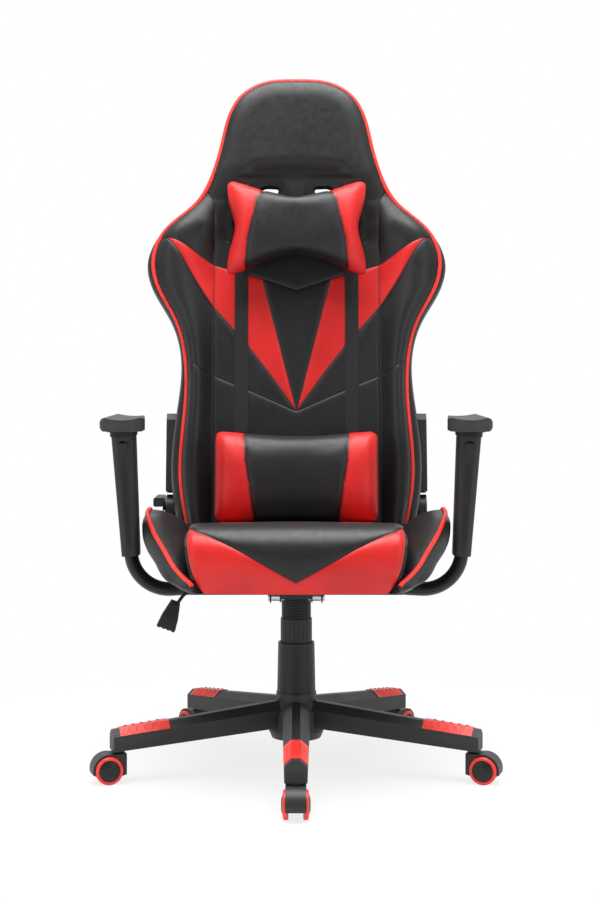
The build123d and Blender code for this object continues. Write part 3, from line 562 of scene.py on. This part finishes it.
side_straight = straight([(SEAM_X, -42), (SEAM_X, 585)], 4)
side_bend = spline([(SEAM_X, 585), (169, 612), (178, 630), (185, 638)], 4)
side_seam = np.concatenate([side_straight, side_bend[1:]])
chevron = straight([(-SEAM_X, 483), (-68, 454), (0, 431), (68, 454), (SEAM_X, 483)], 4)
v_inner = straight([(68, 454), (0, 186)], 4)
v_outer = spline([(0, 186), (97, 317), (SEAM_X, 396)], 4)
wing_top = spline([(SEAM_X, 483), (194, 501), (225, 522), (245, 532), (266, 536), (281, 531)], 4)
wing_low = spline([(SEAM_X, 396), (207, 458), (244, 519), (257, 532), (266, 536)], 4)
low_chevron = spline([(0, 186), (95, 228), (SEAM_X, 258)], 4)
bolster_seam = spline([(SEAM_X, 262), (185, 268), (205, 280), (220, 292)], 4)
shoulder_tuck = straight([(276, 474), (292, 471)], 3)
seams = []
for chain in (side_seam, v_inner, v_outer, wing_top, wing_low, low_chevron, bolster_seam, shoulder_tuck):
    seams += both(chain)
seams.append(chevron)
bezel_edge = [inset(hole_right, -HOLE_MARGIN), inset(hole_left, -HOLE_MARGIN)]
pts, tris, seam_d = pattern(edge_outline, seams, bezel_edge, 5.0 if FINE else 10.0)
depth = back_depth(pts, seam_d)
centre = pts[tris].mean(axis=1)
folded = np.stack([np.abs(centre[:, 0]), centre[:, 1]], axis=1)
red_wing = np.concatenate([wing_top[:-4], wing_low[::-1][1:]])
red_v = np.array([(SEAM_X, 483), (68, 454), (0, 186)] + [tuple(p) for p in v_outer])
is_red = inside(folded, red_wing) | inside(folded, red_v)
front_verts = back_point(pts[:, 0], pts[:, 1], depth)
front = piece("back_front_leather", front_verts, tris, [black_leather, red_leather], "backrest",
              is_red.astype(int))
# painted shade along the seams
paint_seam_shade(front, seam_d)

# gusset and rear cover, as rings at a share of the way out or an inset, each with its depth
rings = []
for t, n in ((0.0, 79), (0.35, 78), (0.8, 70), (1.0, 56), (1.02, 40)):
    ring = edge_outline + (gusset_outline - edge_outline) * t
    rings.append(back_point(ring[:, 0], ring[:, 1], n))
for off, n in ((0, 36), (2.5, 34), (0, 32), (0.5, 18), (3, 6), (9, -1), (18, -4)):
    ring = inset(gusset_outline, off)
    rings.append(back_point(ring[:, 0], ring[:, 1], n))
v, f = loft(rings)
gusset = piece("back_side_leather", v, f, [black_leather], "backrest")
rear_outline = inset(gusset_outline, 18)
rear_seams = [straight([(-190, 300), (0, 250), (190, 300)], 5)]
rear_seams += [straight([(-150, 690), (0, 660), (150, 690)], 5)]
rear_holes = [hole + HOLE_RISE for hole in bezel_edge]
pts, tris, seam_d = pattern(rear_outline, rear_seams, rear_holes, 12.0)
rim = distance(pts, rear_outline, True)
rear_n = -4 - 1.0 * smoothstep(0, 60, rim) + 1.2 * np.exp(-(seam_d / 1.7) ** 2)
rear_verts = back_point(pts[:, 0], pts[:, 1], rear_n)
rear = piece("back_rear_leather", rear_verts, tris[:, ::-1], [black_leather], "backrest")
# painted shade along the seams
paint_seam_shade(rear, seam_d)
piping_path = edge_outline[:edge_open]
piping_line = back_point(piping_path[:, 0], piping_path[:, 1], PIPE_N + 0.5)
piping = tube("back_piping", piping_line, BACK_PIPE_RADIUS / 1000, red_piping, "backrest")
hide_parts("back_cushion")
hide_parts("back_shell")


# ------------------------------------------------------------ pillows
def swell(o, pressure=12.0, cap=0.03, frames=20, smooth=14):
    """Lets the cloth fill with air and keeps its shape; no point moves further than the cap. Metres out."""
    scene = bpy.context.scene
    count = len(o.data.vertices)
    start = np.empty(count * 3)
    o.data.vertices.foreach_get("co", start)
    start = start.reshape(-1, 3)
    if not FINE:
        return start
    cloth = o.modifiers.new("swell", "CLOTH")
    settings = cloth.settings
    settings.use_pressure = True
    settings.uniform_pressure_force = pressure
    settings.effector_weights.gravity = 0
    settings.tension_stiffness = settings.compression_stiffness = settings.shear_stiffness = 50
    settings.bending_stiffness = 8
    settings.quality = 8
    cloth.point_cache.frame_start, cloth.point_cache.frame_end = 1, frames
    for f in range(1, frames + 1):
        scene.frame_set(f)
    shaped = o.evaluated_get(bpy.context.evaluated_depsgraph_get()).to_mesh()
    end = np.empty(count * 3)
    shaped.vertices.foreach_get("co", end)
    o.modifiers.remove(cloth)
    scene.frame_set(1)
    move = end.reshape(-1, 3) - start
    length = np.linalg.norm(move, axis=1)[:, None] + 1e-9
    shape = start + move * np.minimum(1, cap / length)
    edges = np.array([e.vertices[:] for e in o.data.edges])
    ends, others = np.concatenate([edges[:, 0], edges[:, 1]]), np.concatenate([edges[:, 1], edges[:, 0]])
    shares = np.bincount(ends, minlength=count)[:, None]
    for _ in range(smooth):
        near = np.zeros_like(shape)
        np.add.at(near, ends, shape[others])
        shape += (near / shares - shape) * 0.5
    return shape


def crease(o, points, seam_d, deep=0.0022, wide=3.0):
    """Pulls the seams in along the surface's own normals."""
    o.data.vertices.foreach_set("co", points.ravel())
    o.data.update()
    normals = np.array([v.normal[:] for v in o.data.vertices])
    pull = deep * (0.45 * np.exp(-seam_d / (3 * wide)) + 0.55 * np.exp(-(seam_d / wide) ** 2))
    o.data.vertices.foreach_set("co", (points - normals * pull[:, None]).ravel())
    o.data.update()


def sewn_outline(x, s0, s1, pull_x, pull_top, pull_foot, corner, step=4):
    """A pillow's outline, drawn in a little between rounded corners, and its two sides and two ends.
    It reaches x to either side, and from s0 to s1 up the back."""
    mid, c = (s0 + s1) / 2, corner
    low, high = s0 + 0.27 * (s1 - s0), s1 - 0.27 * (s1 - s0)
    flank = np.array([(0, s0 + c), (0.4, low), (1, mid), (0.35, high), (0, s1 - c)]) * (-pull_x, 1)
    right = spline(flank + (x, 0), step)
    top = spline([(x - c, s1), (0, s1 - pull_top), (-x + c, s1)], step)
    left = mirrored(right)[::-1]
    foot = spline([(-x + c, s0), (0, s0 + pull_foot), (x - c, s0)], step)
    corners = ((1, s1, 1), (-1, s1, 1), (-1, s0, -1), (1, s0, -1))
    turn = [[(across * (x - 0.29 * c), s - up * 0.29 * c)] for across, s, up in corners]
    chain = np.concatenate([right, turn[0], top, turn[1], left, turn[2], foot, turn[3], right[:1]])
    return straight(chain, step)[:-1], (right, left), (top, foot)


def pillow(name, outline, sides, ends, seam, depths, radii, body, start=0.85):
    """Two sewn panels that share their rim, lightly filled, then blown up. The ends beyond the seam are red.
    depths are its rear and its front, and radii say how far its sides and its ends roll inwards."""
    seam = seam[inside(seam, outline)]
    pts, tris, seam_d = pattern(outline, both(seam), (), 4.0 if FINE else 7.0)
    centre = pts.mean(axis=0)
    rim = distance(pts, outline, True)
    edges = zip((sides, ends), radii)
    full = [roll(np.min([distance(pts, c) for c in chains], axis=0), r) for chains, r in edges]
    half = (depths[1] - depths[0]) / 2 * full[0] * full[1] * roll(rim, 20) * (start if FINE else 0.8)
    pts_out = centre + (pts - centre) * (1.025 if FINE else 1.0)
    mid = (depths[0] + depths[1]) / 2
    free = rim > 0.05
    rear_index = np.where(free, len(pts) + np.cumsum(free) - 1, np.arange(len(pts)))
    x, s = pts_out[:, 0], pts_out[:, 1]
    verts = np.concatenate([back_point(x, s, mid + half), back_point(x, s, mid - half)[free]])
    faces = np.concatenate([tris, rear_index[tris[:, ::-1]]])
    face_centre = pts[tris].mean(axis=1)
    red = np.abs(face_centre[:, 0]) > np.interp(face_centre[:, 1], seam[::-1, 1], seam[::-1, 0])
    o = piece(name, verts, faces, [black_leather, red_leather], body, np.tile(red, 2).astype(int))
    for_crease, for_seam_shade = np.minimum(seam_d, rim + 1.5), np.minimum(seam_d, rim)
    crease(o, swell(o), np.concatenate([for_crease, for_crease[free]]))
    # painted shade along the seams and the rim
    paint_seam_shade(o, np.concatenate([for_seam_shade, for_seam_shade[free]]), 1.4)
    return o


head_cut = sewn_outline(145.5, 448, 650, 9.5, 14, 16, 16)
head_seam = spline([(60, 690), (67, 630), (76, 600), (84, 568), (94, 520), (101, 466), (104, 400)], 4)
head = pillow("head_pillow_leather", *head_cut, head_seam, (84, 162), (46, 92), "head_rest")
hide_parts("head_pillow")
lumbar_cut = sewn_outline(161, -39, 143, 0, 5, 0, 16)
lumbar_seam = spline([(103, 190), (99, 125), (95, 80), (89, 35), (78, -38), (74, -60)], 4)
lumbar = pillow("lumbar_leather", *lumbar_cut, lumbar_seam, (85, 173), (34, 70), "lumbar", 0.9)
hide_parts("lumbar_cushion")

# ------------------------------------------------------------ seat cushion
# the middle of the top, from the front's foot over the crest to the rear: y, z
PROFILE = [(-233, 357), (-246, 385), (-250, 412), (-241, 448), (-220, 467), (-178, 475), (-100, 469),
           (0, 458), (100, 446), (150, 440.5), (172, 433), (190, 414)]
profile = spline(PROFILE, 2.0)
along = np.concatenate([[0], np.cumsum(np.linalg.norm(np.diff(profile, axis=0), axis=1))])
tangent = np.gradient(profile, axis=0)
tangent /= np.linalg.norm(tangent, axis=1)[:, None]
outward = np.stack([-tangent[:, 1], tangent[:, 0]], axis=1)
crest_at = along[np.argmax(profile[:, 1])]
LENGTH = along[-1]


SIDE_DROP = 11                 # the top rolls down by this much along its sides
WELT_DROP = 3
BAR_BEHIND_CREST = 36          # the seam across the top, where the red wedges start
BAR_HALF = 186
WEDGE_END = 40
FRONT_WIDTHS = [(357, 166), (374, 174), (391, 180), (412, 185), (436, 188), (452, SEAT_HALF)]
# the seam of the front's black V in half: x, and the height of that point on the front
V_HEIGHTS = [(SEAT_HALF, 474), (173, 467), (137, 453), (100, 435), (71, 418), (41.7, 401), (12.4, 384),
             (0, 376.6)]


def v_of_z(z):
    """How far along the profile the front reaches a height."""
    rising = along <= crest_at
    return np.interp(z, profile[rising][:, 1], along[rising])


def seat_half(v):
    """Half width of the cushion, which narrows towards the front's foot."""
    places = [v_of_z(z) for z, _ in FRONT_WIDTHS] + [crest_at, LENGTH]
    return np.interp(v, places, [width for _, width in FRONT_WIDTHS] + [SEAT_HALF, SEAT_HALF])


def on_profile(v, values):
    """The profile's place or outward direction at each distance along it: y, z."""
    return np.stack([np.interp(v, along, values[:, i]) for i in (0, 1)], axis=-1)


right = np.array([(seat_half(v), v) for v in np.arange(0, LENGTH + 1, 5)])
right[-1, 1] = LENGTH
rear_run = straight([right[-1], right[-1] * (-1, 1)], 5)[1:-1]
foot_run = straight([(-right[0, 0], 0), (right[0, 0], 0)], 5)[1:-1]
seat_outline = np.concatenate([right, rear_run, mirrored(right)[::-1], foot_run])
v_line = np.array([(x, v_of_z(z)) for x, z in V_HEIGHTS])
v_seam = straight(v_line, 4)
bar_at = crest_at + BAR_BEHIND_CREST
wedge = [(155, bar_at), (57, bar_at), (120, LENGTH - WEDGE_END), (172, LENGTH - WEDGE_END)]
wedge_seam = straight(wedge + wedge[:1], 4)
top_seam = straight([(-BAR_HALF, bar_at), (BAR_HALF, bar_at)], 4)
seat_seams = both(v_seam) + both(wedge_seam) + [top_seam]
pts, tris, seam_d = pattern(seat_outline, seat_seams, (), 7.0 if FINE else 10.0)
side_rim = seat_half(pts[:, 1]) - np.abs(pts[:, 0])
lift = -SIDE_DROP * (1 - roll(side_rim, 13)) - 1.4 * np.exp(-(seam_d / 1.7) ** 2)
lift = lift + 2.4 * (1 - np.exp(-seam_d / 10)) - 1
lift += 3 * np.cos(np.clip(np.abs(pts[:, 0]) / SEAT_HALF, 0, 1) * pi / 2) - 3
yz = on_profile(pts[:, 1], profile) + on_profile(pts[:, 1], outward) * lift[:, None]
verts = np.stack([pts[:, 0], yz[:, 0], yz[:, 1]], axis=1) / 1000
centre = pts[tris].mean(axis=1)
centre[:, 0] = np.abs(centre[:, 0])
below_v = centre[:, 1] < np.interp(centre[:, 0], v_line[::-1, 0], v_line[::-1, 1])
red = below_v | inside(centre, np.array(wedge))
seat_top = piece("seat_cushion_leather", verts, tris[:, ::-1], [black_leather, red_leather], "seat",
                 red.astype(int))
# painted shade along the seams
paint_seam_shade(seat_top, seam_d)
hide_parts("seat_cushion")

# walls and underside of the seat cushion: in front of the frame they reach lower and are narrower
FRAME_FRONT_Y = -206
FOOT_Z = 356
ON_FRAME_Z = 373
FOOT_HALF = 165
FOOT_FRONT_Y = -230
loop = []
for x, v in seat_outline:
    on_side = abs(abs(x) - seat_half(v)) < 0.5 and 0 < v < LENGTH
    drop = -SIDE_DROP - WELT_DROP if on_side else -WELT_DROP
    y, z = on_profile(v, profile) + on_profile(v, outward) * drop
    loop.append((x, y, z))
loop = np.array(loop)
low = loop.copy()
low[:, 2] = np.where(loop[:, 1] < FRAME_FRONT_Y, FOOT_Z, ON_FRAME_Z)
narrowing = 1 - smoothstep(-225, -190, loop[:, 1])
low[:, 0] += np.sign(loop[:, 0]) * np.minimum(0, FOOT_HALF - np.abs(loop[:, 0])) * narrowing
low[:, 1] = np.maximum(low[:, 1], FOOT_FRONT_Y)
# the wall bulges under the top's welt, at each share of the way down; less so towards the rear
level = np.clip(1 - smoothstep(20, 90, loop[:, 1]), 0, 1) * (np.abs(loop[:, 0]) > 160)
wall = [loop / 1000]
for t, bulge in ((0.06, 4.5), (0.14, 6.5), (0.24, 6), (0.36, 2), (0.5, 0), (1.0, 0)):
    ring = loop + (low - loop) * t
    ring[:, 0] += np.sign(loop[:, 0]) * bulge * level
    wall.append(ring / 1000)
wall.append(low * (0.97, 0.97, 1) / 1000)
v, f = loft(wall)
f.append(tuple((len(wall) - 1) * len(loop) + i for i in range(len(loop))))
seat_wall = piece("seat_cushion_sides", v, f, [black_leather], "seat")

# ------------------------------------------------------------ seat bolsters
# y, ridge x, ridge z, widest x, widest z, outer x at the foot, inner x
SECTIONS = [(-240, 179, 371, 182, 366, 178, 176), (-232, 183, 375, 191, 366, 184, 177),
            (-218, 191, 379, 202, 366, 190, 180), (-200, 200, 384, 212, 368, 197, 187),
            (-175, 213, 393, 230, 374, 205, 193), (-120, 236, 418, 253, 396, 214, 194),
            (-50, 262, 446, 279, 424, 226, 194), (20, 278, 466, 290, 444, 236, 194),
            (80, 284, 472, 293, 448, 242, 194), (126, 281, 469, 290, 446, 240, 194),
            (138, 276, 434, 284, 418, 238, 194), (190, 268, 430, 276, 414, 236, 194)]
BOLSTER_FOOT_Z = 358
TIP_LENGTH = 0.006             # metres that the rounded ends add
PIPING_END_Y = 130
stations = spline(SECTIONS, 6.0)


def bolster_ring(row, side):
    """A cross-section: inner wall, dished top up to the piping, rounded outer side."""
    y, rx, rz, wx, wz, fx, inner = row
    low_z = max(rz - 0.55 * (rx - inner), 360)
    t = np.linspace(0, 1, 12)
    top = np.stack([inner + (rx - inner) * t, low_z + (rz - low_z) * (1 - (1 - t) ** 2.3)], axis=1)
    inside_wall = np.stack([np.full(5, inner), np.linspace(BOLSTER_FOOT_Z, low_z, 5)], axis=1)[:-1]
    upper = ((rx + wx * 2) / 3 + 1, (rz * 2 + wz) / 3)
    lower = ((wx * 2 + fx) / 3, (wz * 2 + BOLSTER_FOOT_Z) / 3)
    outer = spline([(rx, rz), upper, (wx, wz), lower, (fx, BOLSTER_FOOT_Z)], [3, 3, 3, 3])[1:]
    xz = np.concatenate([inside_wall, top, outer])
    return np.stack([xz[:, 0] * side, np.full(len(xz), y), xz[:, 1]], axis=1) / 1000


for side, name in ((1, "left"), (-1, "right")):
    rings = [bolster_ring(r, side) for r in stations]
    tips = []
    for ring, shift in ((rings[0], -TIP_LENGTH), (rings[-1], TIP_LENGTH)):
        centre = ring.mean(axis=0)
        tip = centre + (ring - centre) * 0.75
        tip[:, 1] += shift
        tips.append(tip)
    rings = [tips[0]] + rings + [tips[1]]
    v, f = loft(rings)
    n = len(rings[0])
    f.append(tuple(range(n)))
    f.append(tuple((len(rings) - 1) * n + i for i in range(n))[::-1])
    if side > 0:
        f = [q[::-1] for q in f]
    o = piece(f"seat_bolster_{name}", v, f, [black_leather], "seat")
    if side > 0:
        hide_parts("seat_bolsters")
    line = np.array([(r[1] * side, r[0], r[2]) for r in stations if r[0] < PIPING_END_Y]) / 1000
    line = line + np.array((0.001 * side, 0, 0.001))
    p = tube(f"seat_piping_{name}", line, SEAT_PIPE_RADIUS / 1000, red_piping, "seat")


# ------------------------------------------------------------ tilt spring
# a coil with closed ends (metres)
COIL_RADIUS = 0.009
WIRE_RADIUS = 0.0015
COIL_TURNS = 5.5
END_CLEARANCE = 0.0018
spring_low, spring_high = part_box("tilt_spring")
spring_foot, spring_top = spring_low[2] + END_CLEARANCE, spring_high[2] - END_CLEARANCE
turn = np.linspace(0, 1, 110)
rise = np.interp(turn, (0, 0.14, 0.86, 1), (0, 0.05, 0.95, 1))
coil_mid = (spring_low[1] + spring_high[1]) / 2
coil_x = np.cos(2 * pi * COIL_TURNS * turn) * COIL_RADIUS
coil_y = coil_mid + np.sin(2 * pi * COIL_TURNS * turn) * COIL_RADIUS
coil = np.stack([coil_x, coil_y, spring_foot + (spring_top - spring_foot) * rise], axis=1)
spring = tube("tilt_coil", coil, WIRE_RADIUS, zinc_plate, "lift", sides=12, up=(0.0, 0.0, 1.0))
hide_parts("tilt_spring")
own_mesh(spring)


# ------------------------------------------------------------ stage, light, camera
def plain_stage():
    """A pale floor that keeps the chair's shadow, and is white to the camera and in reflections."""
    m, nodes, links, shader = new_material("studio_white")
    shader.inputs["Base Color"].default_value = (0.9, 0.9, 0.9, 1)
    shader.inputs["Roughness"].default_value = 0.9
    glow = nodes.new("ShaderNodeEmission")
    glow.inputs["Strength"].default_value = 1.0
    path = nodes.new("ShaderNodeLightPath")
    rays = combined(nodes, links, "MAXIMUM", path.outputs["Is Camera Ray"], path.outputs["Is Glossy Ray"])
    rays = combined(nodes, links, "MAXIMUM", rays, path.outputs["Is Transmission Ray"])
    reach = nodes.new("ShaderNodeVectorMath")
    reach.operation = "LENGTH"
    links.new(nodes.new("ShaderNodeTexCoord").outputs["Object"], reach.inputs[0])
    far = map_range(nodes, links, reach.outputs["Value"], (0.35, 0.95), (0.8, 1.0))
    mix = nodes.new("ShaderNodeMixShader")
    links.new(combined(nodes, links, "MULTIPLY", far.outputs[0], rays), mix.inputs["Fac"])
    links.new(shader.outputs[0], mix.inputs[1])
    links.new(glow.outputs[0], mix.inputs[2])
    links.new(mix.outputs[0], nodes["Material Output"].inputs["Surface"])
    mesh = bpy.data.meshes.new("floor")
    mesh.from_pydata([(-30, -30, 0), (30, -30, 0), (30, 30, 0), (-30, 30, 0)], [], [(0, 1, 2, 3)])
    mesh.materials.append(m)
    floor = bpy.data.objects.new("floor", mesh)
    bpy.context.scene.collection.objects.link(floor)


def white_light(nodes, strength):
    light = nodes.new("ShaderNodeBackground")
    light.inputs["Color"].default_value = (1, 1, 1, 1)
    light.inputs["Strength"].default_value = strength
    return light


def studio_world():
    """Even light, a white backdrop, and for reflections a room that is white behind the chair and over it."""
    world = bpy.data.worlds.new("studio")
    bpy.context.scene.world = world
    world.use_nodes = True
    nodes, links = world.node_tree.nodes, world.node_tree.links
    even, room, backdrop = (white_light(nodes, strength) for strength in (0.4, 1.0, 1.0))
    heading = nodes.new("ShaderNodeVectorMath")
    heading.operation = "DOT_PRODUCT"
    heading.inputs[1].default_value = (0, 0.75, 0.66)
    links.new(nodes.new("ShaderNodeTexCoord").outputs["Generated"], heading.inputs[0])
    fade = map_range(nodes, links, heading.outputs["Value"], (-0.15, 0.6), (0.1, 1.0))
    fade.interpolation_type = "SMOOTHSTEP"
    links.new(fade.outputs[0], room.inputs["Strength"])
    path = nodes.new("ShaderNodeLightPath")
    glossy, through = path.outputs["Is Glossy Ray"], path.outputs["Is Transmission Ray"]
    mirror = combined(nodes, links, "MAXIMUM", glossy, through)
    inner, outer = nodes.new("ShaderNodeMixShader"), nodes.new("ShaderNodeMixShader")
    links.new(mirror, inner.inputs["Fac"])
    links.new(even.outputs[0], inner.inputs[1])
    links.new(room.outputs[0], inner.inputs[2])
    links.new(path.outputs["Is Camera Ray"], outer.inputs["Fac"])
    links.new(inner.outputs[0], outer.inputs[1])
    links.new(backdrop.outputs[0], outer.inputs[2])
    links.new(outer.outputs[0], nodes["World Output"].inputs["Surface"])


def lamp(name, place, target, size, power):
    light = bpy.data.lights.new(name, "AREA")
    light.shape = "RECTANGLE"
    light.size, light.size_y = size
    light.energy = power
    o = bpy.data.objects.new(name, light)
    o.location = place
    o.rotation_euler = (Vector(target) - Vector(place)).to_track_quat("-Z", "Y").to_euler()
    bpy.context.scene.collection.objects.link(o)


def place_camera():
    """A level camera in front of the chair; its lens is about 1.9 times as long as the picture is high."""
    camera = bpy.data.cameras.new("camera")
    camera.sensor_width = 36
    camera.lens = camera.sensor_width * 1708 / 900
    camera.shift_y = -0.1
    eye = bpy.data.objects.new("camera", camera)
    eye.location = (0.0069, -3.193, 0.763)
    eye.rotation_euler = (radians(90), 0, 0)
    bpy.context.scene.collection.objects.link(eye)
    bpy.context.scene.camera = eye


plain_stage()
studio_world()
lamp("overhead", (0, -0.4, 3.1), (0, -0.2, 0.7), (2.6, 2.2), 150)
for side, name in ((-1, "left_side"), (1, "right_side")):
    lamp(name, (2.2 * side, -1.9, 1.2), (0, 0.1, 0.6), (1.8, 2.2), 18)
place_camera()
bpy.context.scene.view_settings.view_transform = "Standard"

bpy.context.view_layer.update()
